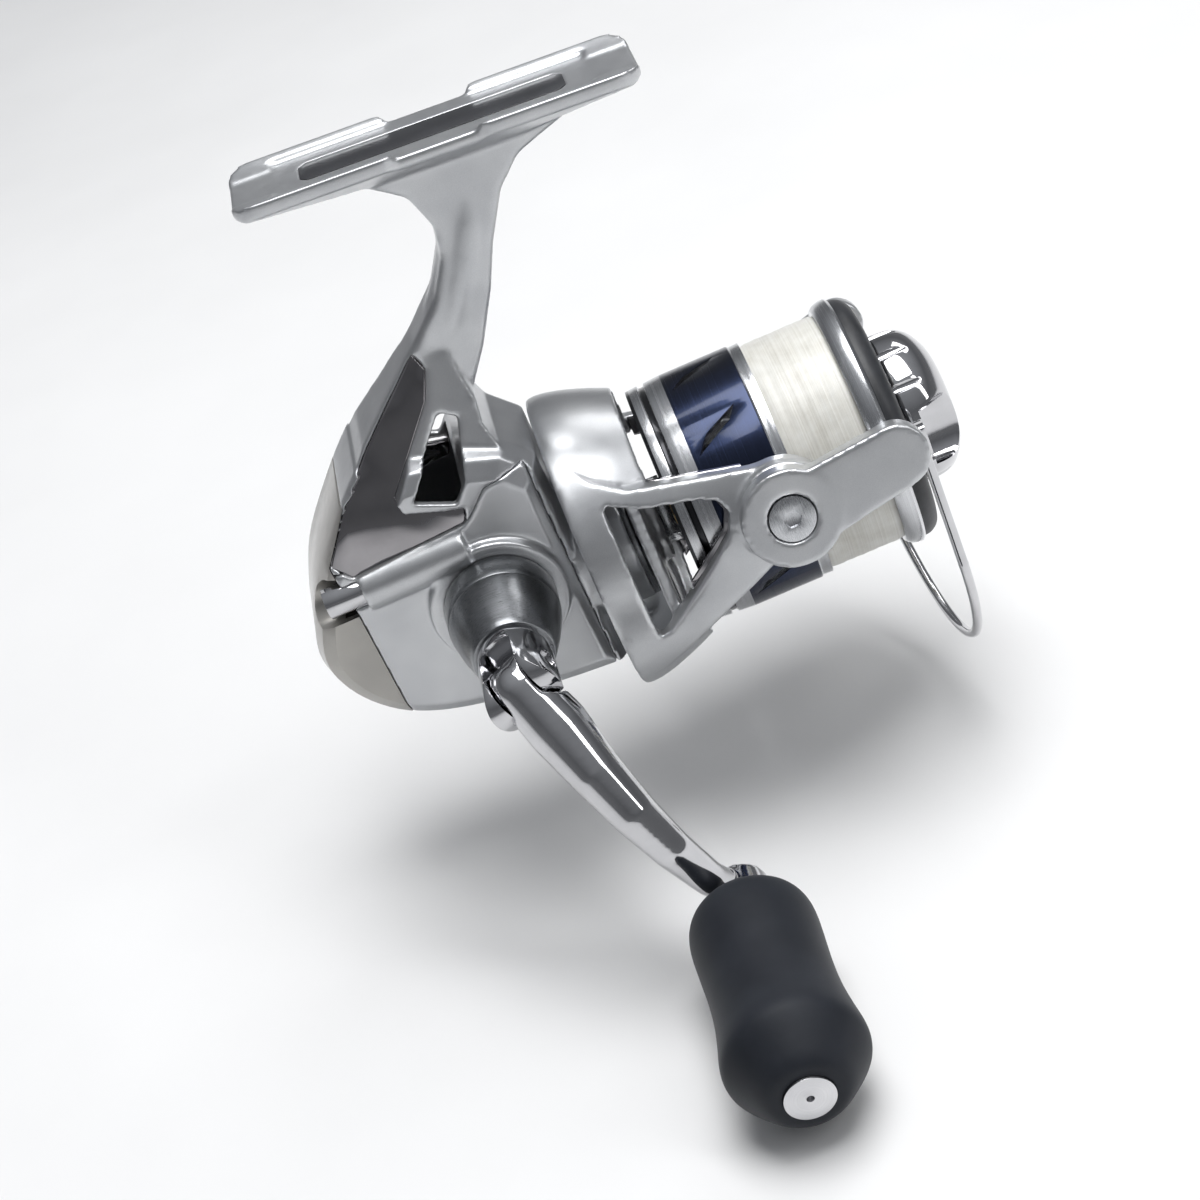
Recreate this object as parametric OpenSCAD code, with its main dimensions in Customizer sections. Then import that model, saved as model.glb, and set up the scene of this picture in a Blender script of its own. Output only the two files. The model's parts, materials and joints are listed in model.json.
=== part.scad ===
// A compact spinning reel, as separate pieces, in millimetres.
// The origin is the middle of the foot's flat land. +X runs forward along the rod, +Z away from the reel.
// The reel's own parts are drawn on the spool axis (+X forward, +Z towards the foot), and then set under
// the foot with a slight tilt.

/* [Foot and stem] */
// Length of the foot along the rod
foot_len = 64; // [58:1:70]
// Width of the foot
foot_w = 17.6; // [16:0.2:19]
// Thickness of the foot at its middle
foot_t = 4; // [3.5:0.1:5]
// Drop from the foot's face to the spool axis at the handle
foot_drop = 78.9; // [76:0.1:84]
// How far the handle axis lies behind the foot's middle
axis_back = 15.3; // [13:0.1:18]
// Tilt of the spool axis towards the rod, in degrees
spool_tilt = 4.2; // [0:0.1:5]
// Thickness of the stem across the reel
stem_w = 8.4; // [7:0.1:10]

/* [Body] */
// Half width of the gear housing
body_half = 13; // [12.6:0.1:13.4]
// Wall thickness of the housing and covers
wall = 1.6; // [1.2:0.1:2]
// Height of the handle axis above the spool axis
drive_z = 4.5; // [4.3:0.1:4.8]
// Where the side cover parts from the housing
part_y = -5; // [-5.4:0.1:-4.8]
// Radius of the boss round the handle collar
boss_r = 11.4; // [10.6:0.1:12]
// Outer face of that boss
boss_y = -14.7; // [-14.9:0.1:-14.5]
// Radius of the front nose that holds the clutch
nose_r = 12.5; // [12:0.1:14]
// Front end of the nose
nose_end = 23.2; // [23:0.1:23.4]

/* [Gears] */
// Radius of the drive gear
gear_r = 12; // [11:0.5:12]
// Teeth on the drive gear
gear_teeth = 42; // [36:6:48]
// Teeth on the pinion's driving part
pinion_teeth = 7; // [6:1:8]
// Radius of the drive shaft
drive_shaft_r = 2.5; // [2.2:0.1:2.5]
// Teeth of the pinion's small spur part
spur_teeth = 12; // [12:1:12]
// Teeth of the worm's spur gear
worm_teeth = 18; // [18:1:18]
// Module of the spur pair
spur_module = 0.5; // [0.5:0.1:0.5]

/* [Handle] */
// Length of the handle arm from axis to axis
handle_len = 45; // [40:1:50]
// Angle of the handle forward of straight down
handle_lean = 23.2; // [0:0.1:40]
// Distance of the fold joint from the spool axis
joint_y = -38; // [-39:0.5:-37.5]
// Outer end of the knob
knob_end = -100.8; // [-104:0.1:-98]
// Inner end of the knob
knob_start = -60; // [-61:0.5:-59.5]
// Largest radius of the knob
knob_r = 11.2; // [10:0.1:11.6]

/* [Rotor] */
// Outer radius of the rotor
rotor_r = 25.6; // [25.6:0.1:26.5]
// Inner radius of the rotor arms
rotor_in = 22.6; // [22.4:0.1:22.8]
// Rear edge of the rotor
rotor_back = 15.6; // [15.5:0.1:15.8]
// Distance forward to the bail pivots
pivot_x = 48; // [46:0.5:49]
// How far the rotor's arms are turned up from level
arm_roll = 13.5; // [0:0.5:45]

/* [Bail] */
// Radius of the bail arm's round end
bail_hub_r = 8; // [7:0.1:8.2]
// Thickness of the bail arm
bail_t = 3.7; // [3:0.1:4]
// Radius of the bail wire
wire_r = 0.8; // [0.6:0.05:1]
// Radius of the wire's bottom bend
bend_r = 24.5; // [24:0.1:25]

/* [Spool] */
// Radius of the front lip
lip_r = 21.5; // [21:0.1:21.6]
// Front face of the spool
lip_x = 67.5; // [67:0.1:68]
// Rear edge of the spool's skirt
skirt_x = 31.3; // [31:0.1:32]
// Radius of the skirt
skirt_r = 20.6; // [20:0.1:20.8]
// Radius of the wound line
line_r = 19.9; // [17:0.1:20.2]
// Radius of the main shaft
shaft_r = 1.5; // [1.4:0.05:1.55]
// Radius of the drag knob
drag_r = 12.8; // [12:0.1:12.9]

/* [Hidden] */
$fn = 96;

// A running fit and a small gap between still pieces
fit = 0.05;
gap = 0.3;
seam = 0.02;
// The foot's flat land, its trough and its label strip
land_w = 9;
trough_r = 32;
strip_len = 42;
strip_w = 6.6;
strip_t = 0.6;
// The foot's rounded ends, its waist, and the raised rails along its sides
end_r = 4;
waist_x = 6.2;
waist_in = 1;
rail_h = 1.1;
rail_y = 6.9;
rail_end = 25;
// Bearings of the drive shaft
drive_bearing_r = 5.5;
drive_bearing_t = 3.6;
// Pinion
pinion_r = 3.2;
pinion_root = 2.5;
pinion_back = 6.8;
pinion_front = 31.5;
mesh_x = 11.6;
spur_x = 12.4;
spur_t = 1.8;
spur_gap = spur_module * (spur_teeth + worm_teeth) / 2;
worm_angle = -35;
worm_y = spur_gap * cos(worm_angle);
worm_z = spur_gap * sin(worm_angle);
worm_r = 1.8;
worm_back = -19.2;
worm_journal_r = 1.2;
bush_r = 2.6;
bush_t = 2;
bush_places = [-21.2, 9.4];
spur_link = 90 + worm_angle;
spur_offset = ceil(spur_link * spur_teeth / 360) * 360 / spur_teeth - spur_link;
worm_phase = spur_link + 180 - spur_offset * spur_teeth / worm_teeth + 180 / worm_teeth;
rod_r = 0.8;
rod_places = [[0.6, -5.6], [9.8, -2.7]];
rib_x = 3.4;
rib_t = 2.8;
slider_x = -16.2;
slider_len = 6.8;
slider_floor = -7;
pawl_x = slider_x + slider_len / 2;
screw_places = [[-17, 6.4], [-13, -9.3], [10, -11]];
side_screw = [-11.6, 15.4];
side_screw_r = 2.6;
ridge_r = 3.7;
// Front bearing and clutch seats in the nose
bearing_x = 15.2;
bearing_t = 3;
bearing_r = 7;
clutch_x = 18.2;
clutch_t = 4.6;
clutch_r = 10.4;
sleeve_r = 4.9;
// Rotor
hub_x = 24.6;
web_t = 2;
hub_r = 8;
arm_end_r = 8.2;
boss_out = 26;
bail_in = 26.3;
screw_r = 1.8;
screw_head_r = 3.9;
roller_x = 69.5;
roller_z = 9.5;
roller_in = 22.6;
roller_w = 3.6;
roller_r = 3.2;
tip_x = 66.5;
tip_z = 2.5;
tip_r = 5.2;
wire_mid = 68;
wire_lean = 5.5;
bend_z = -15.5;
wire_seat = 1;
wire_far_seat = 5;
// Spool
band_x = 49.8;
line_x = 51.4;
lip_back = 64.3;
arbor_r = 14;
cavity_r = 10.5;
cavity_x = 56;
washer_t = 1;
seat_x = 39.5;
bearing_bore = shaft_r + fit;
// Handle
fork_gap = 6.6;
pin_r = 1.7;
eye_y = -55;
eye_r = 5;
knob_shaft_r = 2;

// ---------- helpers ----------

// Under the foot: the spool axis frame
module in_reel() translate([-axis_back, 0, -foot_drop]) rotate([0, -spool_tilt, 0]) children();

// On the rotor, with its arms along -Y and +Y
module in_rotor() in_reel() rotate([-arm_roll, 0, 0]) children();

// On the handle axis, with the arm along -Z
module in_handle() in_reel() translate([0, 0, drive_z]) rotate([0, -handle_lean, 0]) children();

// A cylinder along +X, from x0, optionally with a bore
module along_x(x0, len, r, bore = 0, y = 0, z = 0)
    translate([x0, y, z]) rotate([0, 90, 0]) difference() {
        cylinder(h = len, r = r);
        if (bore > 0) translate([0, 0, -1]) cylinder(h = len + 2, r = bore);
    }

// A cylinder along Y between two values of y
module along_y(y0, y1, r, bore = 0, x = 0, z = 0)
    translate([x, min(y0, y1), z]) rotate([-90, 0, 0]) difference() {
        cylinder(h = abs(y1 - y0), r = r);
        if (bore > 0) translate([0, 0, -1]) cylinder(h = abs(y1 - y0) + 2, r = bore);
    }

// A solid turned about X from points [x, radius]
module turned_x(points) rotate([0, 90, 0]) rotate_extrude() polygon([for (p = points) [p[1], p[0]]]);

// A solid turned about Y from points [distance from the reel, radius]
module turned_y(points) rotate([90, 0, 0]) rotate_extrude() polygon([for (p = points) [p[1], p[0]]]);

// An outline in the XZ plane, made thick from y0 to y1
module plate_y(y0, y1) translate([0, max(y0, y1), 0]) rotate([90, 0, 0])
    linear_extrude(abs(y1 - y0)) children();

// A smooth curve through points, as a finer list of points
function curve(p, n = 4) = [for (i = [0:len(p) - 2], k = [0:(i == len(p) - 2 ? n : n - 1)]) let (t = k / n,
    a = p[max(i - 1, 0)], b = p[i], c = p[i + 1], d = p[min(i + 2, len(p) - 1)])
    0.5 * (2 * b + (c - a) * t + (2 * a - 5 * b + 4 * c - d) * t * t + (3 * b - a - 3 * c + d) * t * t * t)];

// Points of an arc
function arc(cx, cy, r, a0, a1, n = 10) = [for (i = [0:n]) [cx + r * cos(a0 + (a1 - a0) * i / n),
    cy + r * sin(a0 + (a1 - a0) * i / n)]];

// One flat gear outline with straight-sided teeth
module gear_outline(teeth, pitch_r, root_r, tip_r, thin) {
    circle(r = root_r);
    half = 90 / teeth - thin / pitch_r * 28.65;
    for (i = [0:teeth - 1]) rotate(i * 360 / teeth)
        polygon([[root_r * 0.8, -root_r * 0.8 * sin(half * 1.5)], [root_r, -root_r * sin(half * 1.45)],
            [tip_r, -tip_r * sin(half * 0.45)], [tip_r, tip_r * sin(half * 0.45)],
            [root_r, root_r * sin(half * 1.45)], [root_r * 0.8, root_r * 0.8 * sin(half * 1.5)]]);
}

// Spring of round wire along +Z, as one swept tube
module coil_spring(len, r, wire, turns, sides = 6, per_turn = 14) {
    n = turns * per_turn;
    rings = [for (i = [0:n]) let (a = 360 * i / per_turn, z = wire + (len - 2 * wire) * i / n)
        [for (k = [0:sides - 1]) let (b = 360 * k / sides, q = r + wire * cos(b))
            [q * cos(a), q * sin(a), z + wire * sin(b)]]];
    points = [for (ring = rings) each ring];
    walls = [for (i = [0:n - 1], k = [0:sides - 1]) let (a = i * sides + k, b = i * sides + (k + 1) % sides)
        each [[a, b, b + sides], [a, b + sides, a + sides]]];
    first = [[for (k = [sides - 1:-1:0]) k]];
    last = [[for (k = [0:sides - 1]) n * sides + k]];
    polyhedron(points, concat(walls, first, last));
}

// ---------- outlines in the XZ plane of the reel ----------

// The gear housing, heel on the left
module body_shape() polygon(concat(curve([[7, -17.6], [-5, -16.2], [-15.5, -13.8], [-22.5, -10.5],
    [-27.5, -5.6], [-30.4, 0], [-31, 5.5], [-28.6, 12.4], [-24.8, 19.3], [-17, 28.6], [-12, 33.6]]),
    [[4, 31], [11, 28.4], [15, 24], [15, -18.2]]));

// The stem, from the housing to the foot, without its window
module stem_shape() polygon([[-13, 30], [-9.5, 36], [4.6, 47.4], [10.7, 53.2], [14.2, 59], [15.2, 64],
    [13.4, 70], [8, 74.5], [8, 76.5], [40, 74.3], [40, 72.3], [31.5, 69.5], [27, 65.5], [22.6, 58],
    [19.3, 50.9], [14.5, 42.5], [10.2, 36.5], [9.4, 32.5], [10.6, 28], [0, 20]]);

// The window through the stem's root
module stem_window() polygon([[-5.6, 26.6], [0.6, 23.6], [3.2, 26.5], [6.2, 34.8], [3.6, 36.4]]);

// The mirror trim beside the stem
module trim_shape() polygon([[-19.5, 18.5], [0.5, 19.6], [1.6, 22.4], [-1, 23], [-7.6, 25.6], [-8, 27.4],
    [2.6, 39], [4.6, 43.5], [3.6, 46.2], [-9.4, 35.4], [-16.4, 28.4], [-22, 21.4]]);

// The side cover's share: everything on its side below the trim and the stem's root
module cover_area() polygon([[-40, -30], [-40, 19.4], [1.2, 20.2], [5.6, 24.4], [12.8, 25], [12.8, -30]]);

// The stem's root, which narrows from the housing's width to the stem's
module root_shape() polygon([[-24.8, 19.3], [-9.5, 36], [4.6, 47.4], [9, 44], [10.2, 36.5], [9.4, 32.5],
    [10.6, 28], [8, 20]]);

// The rear cover's share: everything behind this line
module heel_area() polygon([[-40, -20], [-21, -20], [-21.5, -6], [-21.5, 12], [-22.4, 21], [-16.4, 28.8],
    [-40, 40]]);

// ---------- body: housing, covers and what is fixed in them ----------

// The crowned outside of the gear housing, between two values of y
module body_block(y0, y1) intersection() {
    hull() {
        plate_y(-body_half + 5, body_half - 5) body_shape();
        plate_y(-body_half + 1.6, body_half - 1.6) translate([-0.5, 0.4]) scale([0.95, 0.95]) body_shape();
        plate_y(-body_half, body_half) translate([-1.5, 1]) scale([0.85, 0.84]) body_shape();
    }
    translate([-40, min(y0, y1), -30]) cube([55, abs(y1 - y0), 70]);
}

// The hollow inside the housing
module body_hollow(y0, y1) plate_y(y0, y1) translate([-1.3, 0.8]) scale([0.8, 0.8]) body_shape();

module drive_bore(y0, y1, r) along_y(y0, y1, r, z = drive_z);

// The foot's outline from above, with rounded ends and a narrower middle
module foot_outline() {
    half = foot_w / 2;
    difference() {
        polygon(concat(arc(foot_len / 2 - end_r, half - end_r, end_r, 0, 90),
            arc(end_r - foot_len / 2, half - end_r, end_r, 90, 180),
            arc(end_r - foot_len / 2, end_r - half, end_r, 180, 270),
            arc(foot_len / 2 - end_r, end_r - half, end_r, 270, 360)));
        for (s = [-1, 1]) scale([1, s]) polygon([[-waist_x - 2, half + 1], [-waist_x - 2, half],
            [-waist_x, half - waist_in], [waist_x, half - waist_in], [waist_x + 2, half],
            [waist_x + 2, half + 1]]);
    }
}

// The bare foot: a trough-topped bar that thins towards both ends, wedge-shaped below, with a raised rail
// along each side that is broken at the waist
module foot_bar() difference() {
    intersection() {
        rotate([0, 90, 0]) linear_extrude(foot_len, center = true) difference() {
            polygon([[-rail_h, -foot_w / 2], [-rail_h, foot_w / 2], [1, foot_w / 2], [foot_t, 4.6],
                [foot_t, -4.6], [1, -foot_w / 2]]);
            translate([-trough_r, 0]) circle(r = trough_r);
            translate([-2, -land_w / 2]) square([2, land_w]);
        }
        rotate([90, 0, 0]) linear_extrude(foot_w + 2, center = true)
            polygon([[-foot_len / 2, 2], [foot_len / 2, 2], [foot_len / 2, -1.3], [foot_len / 5, -foot_t],
                [-foot_len / 5, -foot_t], [-foot_len / 2, -1.3]]);
        linear_extrude(12, center = true) foot_outline();
    }
    rotate([90, 0, 0]) linear_extrude(2 * rail_y, center = true)
        polygon([[-rail_end, 0], [rail_end, 0], [rail_end + 1.2, 2], [-rail_end - 1.2, 2]]);
    rotate([90, 0, 0]) linear_extrude(foot_w + 2, center = true)
        polygon([[-waist_x, 0], [waist_x, 0], [waist_x + 1.6, 2], [-waist_x - 1.6, 2]]);
    translate([0, 0, -strip_t]) linear_extrude(3) offset(delta = seam) strip_outline();
}

// The label strip's outline, with clipped corners
module strip_outline() {
    x = strip_len / 2 - seam;
    y = strip_w / 2 - seam;
    polygon([[-x, 1.2 - y], [1.2 - x, -y], [x - 1.2, -y], [x, 1.2 - y], [x, y - 1.2], [x - 1.2, y],
        [1.2 - x, y], [-x, y - 1.2]]);
}

// A roof over the spool axis: |y| shrinks with height, by run over rise
module roof(inset) translate([-40, 0, 0]) rotate([90, 0, 90]) linear_extrude(100)
    polygon([[-12.6 + inset, 18], [-4.3 + inset, 45.5], [-4.3 + inset, 60], [4.3 - inset, 60],
        [4.3 - inset, 45.5], [12.6 - inset, 18], [12.6 - inset, 10], [-12.6 + inset, 10]]);

// The stem's root between the two trims
module stem_root() intersection() {
    plate_y(-body_half, body_half) root_shape();
    roof(0);
}

// Room for the gears: the drive gear, the pinion's spur and the worm's spur
module gear_room() {
    drive_bore(-9, -3.1, gear_r + 0.5);
    along_x(8, 7.4, 4);
    along_x(8, 6.4, 5.5, y = worm_y, z = worm_z);
}

module body_housing() color("silver") {
    foot_bar();
    in_reel() difference() {
        union() {
            difference() {
                housing_outside();
                body_hollow(-body_half + wall, body_half - wall);
                gear_room();
                plate_y(-20, 20) stem_window();
            }
            housing_ribs();
        }
        plate_y(-20, 20) heel_area();
        trim_cut(1);
        trim_cut(-1);
        drive_bore(8, body_half + 3, drive_bearing_r + seam);
        along_x(bearing_x - seam, 12, bearing_r + seam);
        along_x(clutch_x - seam, 12, clutch_r + seam);
        along_x(rib_x - 1, 5, 2.3 + seam);
        along_x(rib_x - 1, 5, worm_r + gap, y = worm_y, z = worm_z);
        for (x = bush_places) along_x(x - 0.2, bush_t + 0.2, bush_r + seam, y = worm_y, z = worm_z);
        for (p = rod_places) along_x(-21.3, 29, rod_r + seam, y = p[0], z = p[1]);
        for (p = screw_places) {
            along_y(part_y - 1, body_half + 1, 0.9 + seam, x = p[0], z = p[1]);
            along_y(body_half - 1, body_half + 3, 1.7 + seam, x = p[0], z = p[1]);
        }
    }
}

// The housing's solid outline: block, stem's root, stem, nose and the far side's boss
module housing_outside() {
    difference() {
        union() {
            body_block(-body_half, body_half);
            stem_root();
        }
        plate_y(-20, part_y) cover_area();
    }
    plate_y(-stem_w / 2, stem_w / 2) intersection() {
        stem_shape();
        translate([-30, 20]) square([80, 60]);
    }
    along_x(13, nose_end - 13, nose_r);
    drive_bore(body_half - 2, body_half + 1.7, 9.4);
}

// Inner walls and posts that carry the pinion, the worm, the guide rods and the screws
module housing_ribs() {
    translate([rib_x, -3.1, -3.1]) cube([rib_t, 12, 6]);
    translate([rib_x, -0.9, -11.5]) cube([rib_t, 13, 10.2]);
    translate([9.4, 3.5, -9]) cube([bush_t, 8.4, 8.4]);
    translate([-21.2, -0.8, -8.5]) cube([2, 12.6, 9.2]);
    for (p = screw_places) along_y(part_y, body_half - 1, 2, x = p[0], z = p[1]);
}

// The slanted recess that a trim plate sits in
module trim_cut(side) difference() {
    scale([1, side, 1]) plate_y(1, 30) trim_shape();
    roof(1.5);
}

module side_cover() color("silver") in_reel() difference() {
    union() {
        difference() {
            union() {
                intersection() {
                    body_block(-body_half, part_y - seam);
                    plate_y(-20, 0) cover_area();
                }
                drive_bore(part_y - 3, boss_y, boss_r);
                along_x(-19 + seam, 18, ridge_r, y = side_screw[0], z = side_screw[1]);
            }
            body_hollow(-body_half + wall, part_y + 1);
            gear_room();
        }
        for (p = screw_places) along_y(part_y - seam, -body_half + 1, 2, x = p[0], z = p[1]);
    }
    for (p = screw_places) along_y(part_y + 1, -body_half + 3.5, 0.9 + seam, x = p[0], z = p[1]);
    plate_y(-30, 20) heel_area();
    trim_cut(-1);
    drive_bore(-20, -9, drive_bearing_r + seam);
    along_x(-30, 11, side_screw_r + seam, y = side_screw[0], z = side_screw[1]);
    along_x(-20, 8, 1.2 + seam, y = side_screw[0], z = side_screw[1]);
}

module rear_cover() color("#8d8a84") in_reel() difference() {
    intersection() {
        body_block(-body_half, body_half);
        plate_y(-20, 20) translate([-seam, 0]) heel_area();
    }
    body_hollow(-body_half + wall, body_half - wall);
    along_x(-40, 30, ridge_r + 0.2, y = side_screw[0], z = side_screw[1]);
    trim_cut(1);
    trim_cut(-1);
}

module side_trim(side) color("#3a3d42") in_reel() difference() {
    intersection() {
        scale([1, side, 1]) plate_y(1, 30) trim_shape();
        roof(seam);
    }
    roof(1.5 - seam);
}

module side_trim_right() side_trim(-1);
module side_trim_left() side_trim(1);

module foot_plate() color("#26282b") translate([0, 0, -strip_t]) linear_extrude(strip_t) strip_outline();

module rear_cover_screw() color("#c8c8c8") in_reel() difference() {
    union() {
        along_x(-25.4, 6.4 - seam, side_screw_r, y = side_screw[0], z = side_screw[1]);
        along_x(-19 - 2 * seam, 7, 1.2, y = side_screw[0], z = side_screw[1]);
    }
    translate([-26, side_screw[0] - 0.5, side_screw[1] - 5]) cube([1.5, 1, 10]);
}

// Screws that pull the side cover on, from the far side
module body_screws() color("#9a9a9a") in_reel()
    for (p = screw_places) difference() {
        union() {
            along_y(body_half - 1 + seam, body_half - 0.1, 1.7, x = p[0], z = p[1]);
            along_y(-body_half + 4, body_half - 1 + seam, 0.9, x = p[0], z = p[1]);
        }
        translate([p[0] - 2, body_half - 0.6, p[1] - 0.3]) cube([4, 1, 0.6]);
    }

module far_side_cap() color("#3f4348") in_reel() translate([0, 0, drive_z]) difference() {
    union() {
        along_y(body_half + 1.7 + seam, body_half + 3.4, 8.4);
        along_y(body_half + 0.3, body_half + 1.7 + seam, drive_bearing_r);
    }
    along_y(body_half, body_half + 2.4, 3.2);
    for (i = [0:7]) rotate([0, i * 45, 0]) along_y(body_half + 2.4, body_half + 4, 1.1, x = 8.9);
}

module drive_bearings() color("#b9bcc0") in_reel()
    for (y = [-12.8, 9.2]) along_y(y, y + drive_bearing_t, drive_bearing_r, drive_shaft_r + fit, z = drive_z);

module pinion_bush() color("#b08d57") in_reel() along_x(rib_x, rib_t, 2.3, bearing_bore);

module pinion_bearing() color("#b9bcc0") in_reel() along_x(bearing_x, bearing_t, bearing_r, pinion_r + fit);

module roller_clutch() color("#6c7076") in_reel() difference() {
    along_x(clutch_x, clutch_t, clutch_r, sleeve_r + fit);
    for (i = [0:5]) rotate([i * 60, 0, 0]) along_x(clutch_x + 0.6, clutch_t, 1.1, y = 6.7);
}

module nose_plate() color("#8f9499") in_reel() along_x(nose_end + seam, 0.8, nose_r - 0.2, sleeve_r + 0.4);

module worm_bushes() color("#b08d57") in_reel()
    for (x = bush_places) along_x(x, bush_t, bush_r, worm_journal_r + fit, y = worm_y, z = worm_z);

module guide_rods() color("#c9ccd0") in_reel()
    for (p = rod_places) along_x(-21.2, rib_x + rib_t + 21.2, rod_r, y = p[0], z = p[1]);

// ---------- crank: drive shaft, gear, collar, shank ----------

module drive_shaft() color("#b9bcc0") in_reel()
    along_y(boss_y - 4 + seam, body_half, drive_shaft_r, z = drive_z);

module drive_gear() color("#c2a878") in_reel() translate([0, 0, drive_z]) difference() {
    union() {
        along_y(-8, -4.7, gear_r);
        along_y(-4.7, -3.4, 4);
        for (i = [0:gear_teeth - 1]) rotate([0, i * 360 / gear_teeth, 0])
            translate([9.2, -5, -0.35]) cube([gear_r - 9.25, 1.5, 0.7]);
    }
    along_y(-9, 2, drive_shaft_r);
    along_y(-5.4, -4, 8.2, 4.6);
}

module handle_collar() color("#4a4d50") in_reel() translate([0, 0, drive_z]) difference() {
    turned_y([[-boss_y + gap, 0], [-boss_y + gap, 9.3], [19.6, 9.15], [19.9, 8.95], [20.2, 9.1],
        [25, 8.1], [30.6, 6.5], [30.6, 0]]);
    along_y(-31, boss_y, drive_shaft_r);
}

module handle_shank() color("#d8dadc") in_handle() difference() {
    union() {
        along_y(boss_y - 4, -30.6 - seam, drive_shaft_r - 0.1);
        along_y(-30.6 - seam, -33.2, 6.1);
        intersection() {
            along_y(-33.2, -44, 6.1);
            union() {
                translate([-7, -38.5, -7]) cube([14, 5.6, 14]);
                translate([-7, joint_y, 0]) rotate([0, 90, 0]) cylinder(h = 14, r = 4.9);
            }
        }
    }
    translate([-fork_gap / 2, -50, -8]) cube([fork_gap, 50 - 33.2, 16]);
    translate([-8, joint_y, 0]) rotate([0, 90, 0]) cylinder(h = 16, r = pin_r);
}

module fold_pin() color("#8d9093") in_handle() translate([-5.6, joint_y, 0]) rotate([0, 90, 0])
    cylinder(h = 11.2, r = pin_r);

// ---------- handle arm and knob ----------

// Points of the arm's middle line, as [distance from the axis, y, radius]
arm_line = [[0, -39.2, 4.6], [7, -43.5, 5], [14, -49.2, 4.2], [21, -53.4, 3.7], [29, -56, 3.2],
    [37, -56.6, 2.8], [handle_len - 3, eye_y, 2.7]];

module arm_bead(i) translate([0, arm_line[i][1], -arm_line[i][0]]) sphere(r = arm_line[i][2], $fn = 28);

module handle_arm() color("#d8dadc") in_handle() difference() {
    union() {
        difference() {
            union() for (i = [0:len(arm_line) - 2]) hull() {
                arm_bead(i);
                arm_bead(i + 1);
            }
            for (s = [-1, 1]) scale([s, 1, 1]) translate([fork_gap / 2 - gap, 0, 0]) {
                translate([0, joint_y - 0.9, -6.5]) cube([12, 16, 20]);
                translate([0, joint_y, 0]) rotate([0, 90, 0]) cylinder(h = 12, r = 5.3);
            }
            translate([-12, joint_y + 4.3, -10]) cube([24, 10, 20]);
        }
        translate([-fork_gap / 2 + gap, joint_y, 0]) rotate([0, 90, 0])
            cylinder(h = fork_gap - 2 * gap, r = 4.2);
        along_y(eye_y + 2.2, eye_y - 2.2, eye_r, z = -handle_len);
    }
    along_y(eye_y - 2.2, eye_y - 9, 3.9, z = -handle_len);
    translate([-8, joint_y, 0]) rotate([0, 90, 0]) cylinder(h = 16, r = pin_r + fit);
    along_y(eye_y + 4, eye_y - 4, knob_shaft_r + seam, z = -handle_len);
}

module knob_shaft() color("#c9ccd0") in_handle() {
    along_y(eye_y + 2.2, knob_end + 4, knob_shaft_r, z = -handle_len);
    along_y(eye_y - 2.2, knob_start + gap + 0.2, 3.4, knob_shaft_r, z = -handle_len);
}

module knob_bearings() color("#b9bcc0") in_handle()
    for (y = [knob_start - 3, knob_end + 6]) along_y(y, y - 2.5, 3.5, knob_shaft_r + fit, z = -handle_len);

module knob_grip() color("#2e333b") in_handle() translate([0, 0, -handle_len]) difference() {
    turned_y(concat([[-knob_start, 0]], curve([[-knob_start, 4.6], [-knob_start + 1.1, 7.4],
        [-knob_start + 3.2, 9.3], [-knob_start + 6.6, knob_r - 0.8], [-knob_start + 12, knob_r - 1.1],
        [-knob_start + 18, knob_r - 1.2], [-knob_start + 25, knob_r - 0.6], [-knob_end - 9, knob_r],
        [-knob_end - 5.2, knob_r - 0.7], [-knob_end - 2.6, 8.6], [-knob_end - 1, 6.2],
        [-knob_end - 0.5, 4.1]]),
        [[-knob_end - 0.5, 0]]));
    along_y(knob_start + 1, knob_end + 3, knob_shaft_r + 0.4);
    for (y = [knob_start - 3, knob_end + 6]) along_y(y, y - 2.5, 3.5 + seam);
    along_y(knob_start + 1, knob_start - 3, 3.6);
    along_y(knob_end - 1, knob_end + 3, 3.9 + seam);
}

module knob_cap() color("#c8cacc") in_handle() translate([0, 0, -handle_len]) difference() {
    union() {
        along_y(knob_end, knob_end + 0.9, 3.9);
        along_y(knob_end + 0.9, knob_end + 2.8, 3);
    }
    along_y(knob_end - 1, knob_end + 1.6, 0.6);
}

// ---------- rotor and pinion ----------

module pinion() color("#c2a878") in_reel() difference() {
    union() {
        translate([pinion_back, 0, 0]) rotate([0, 90, 0]) linear_extrude(mesh_x - pinion_back)
            gear_outline(pinion_teeth, 2.9, pinion_root, pinion_r, 0.2);
        along_x(mesh_x, spur_x - mesh_x, pinion_root - 0.15);
        translate([spur_x, 0, 0]) rotate([0, 90, 0]) linear_extrude(spur_t)
            gear_outline(spur_teeth, spur_module * spur_teeth / 2, 2.4, 3.4, 0.12);
        along_x(spur_x + spur_t, pinion_front - spur_x - spur_t, pinion_r);
    }
    along_x(pinion_back - 1, pinion_front - pinion_back + 2, bearing_bore);
}

module clutch_sleeve() color("#9a9da1") in_reel()
    along_x(clutch_x + gap, hub_x - clutch_x - gap, sleeve_r, pinion_r + seam);

// Side outline of one rotor arm, with its pivot end
module arm_shape() {
    polygon([[rotor_back, 21.6], [18, 19], [21, 15.6], [26, 12.4], [36, 10.2], [46, 8.1], [48, 8.2],
        [48, -8.2], [44, -7.2], [32, -13.4], [21, -19.6], [rotor_back, -20.6]]);
    translate([pivot_x, 0]) circle(r = arm_end_r);
}

module arm_window() polygon([[21.5, 11.6], [27, 9], [36, 7], [38.6, 5.6], [39.4, 3.4], [38, 0], [23.5, -12],
    [21.5, -12.4]]);

// A tube wall between two radii, along X
module tube_x(x0, x1, r0, r1) along_x(x0, x1 - x0, r1, r0);

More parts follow.
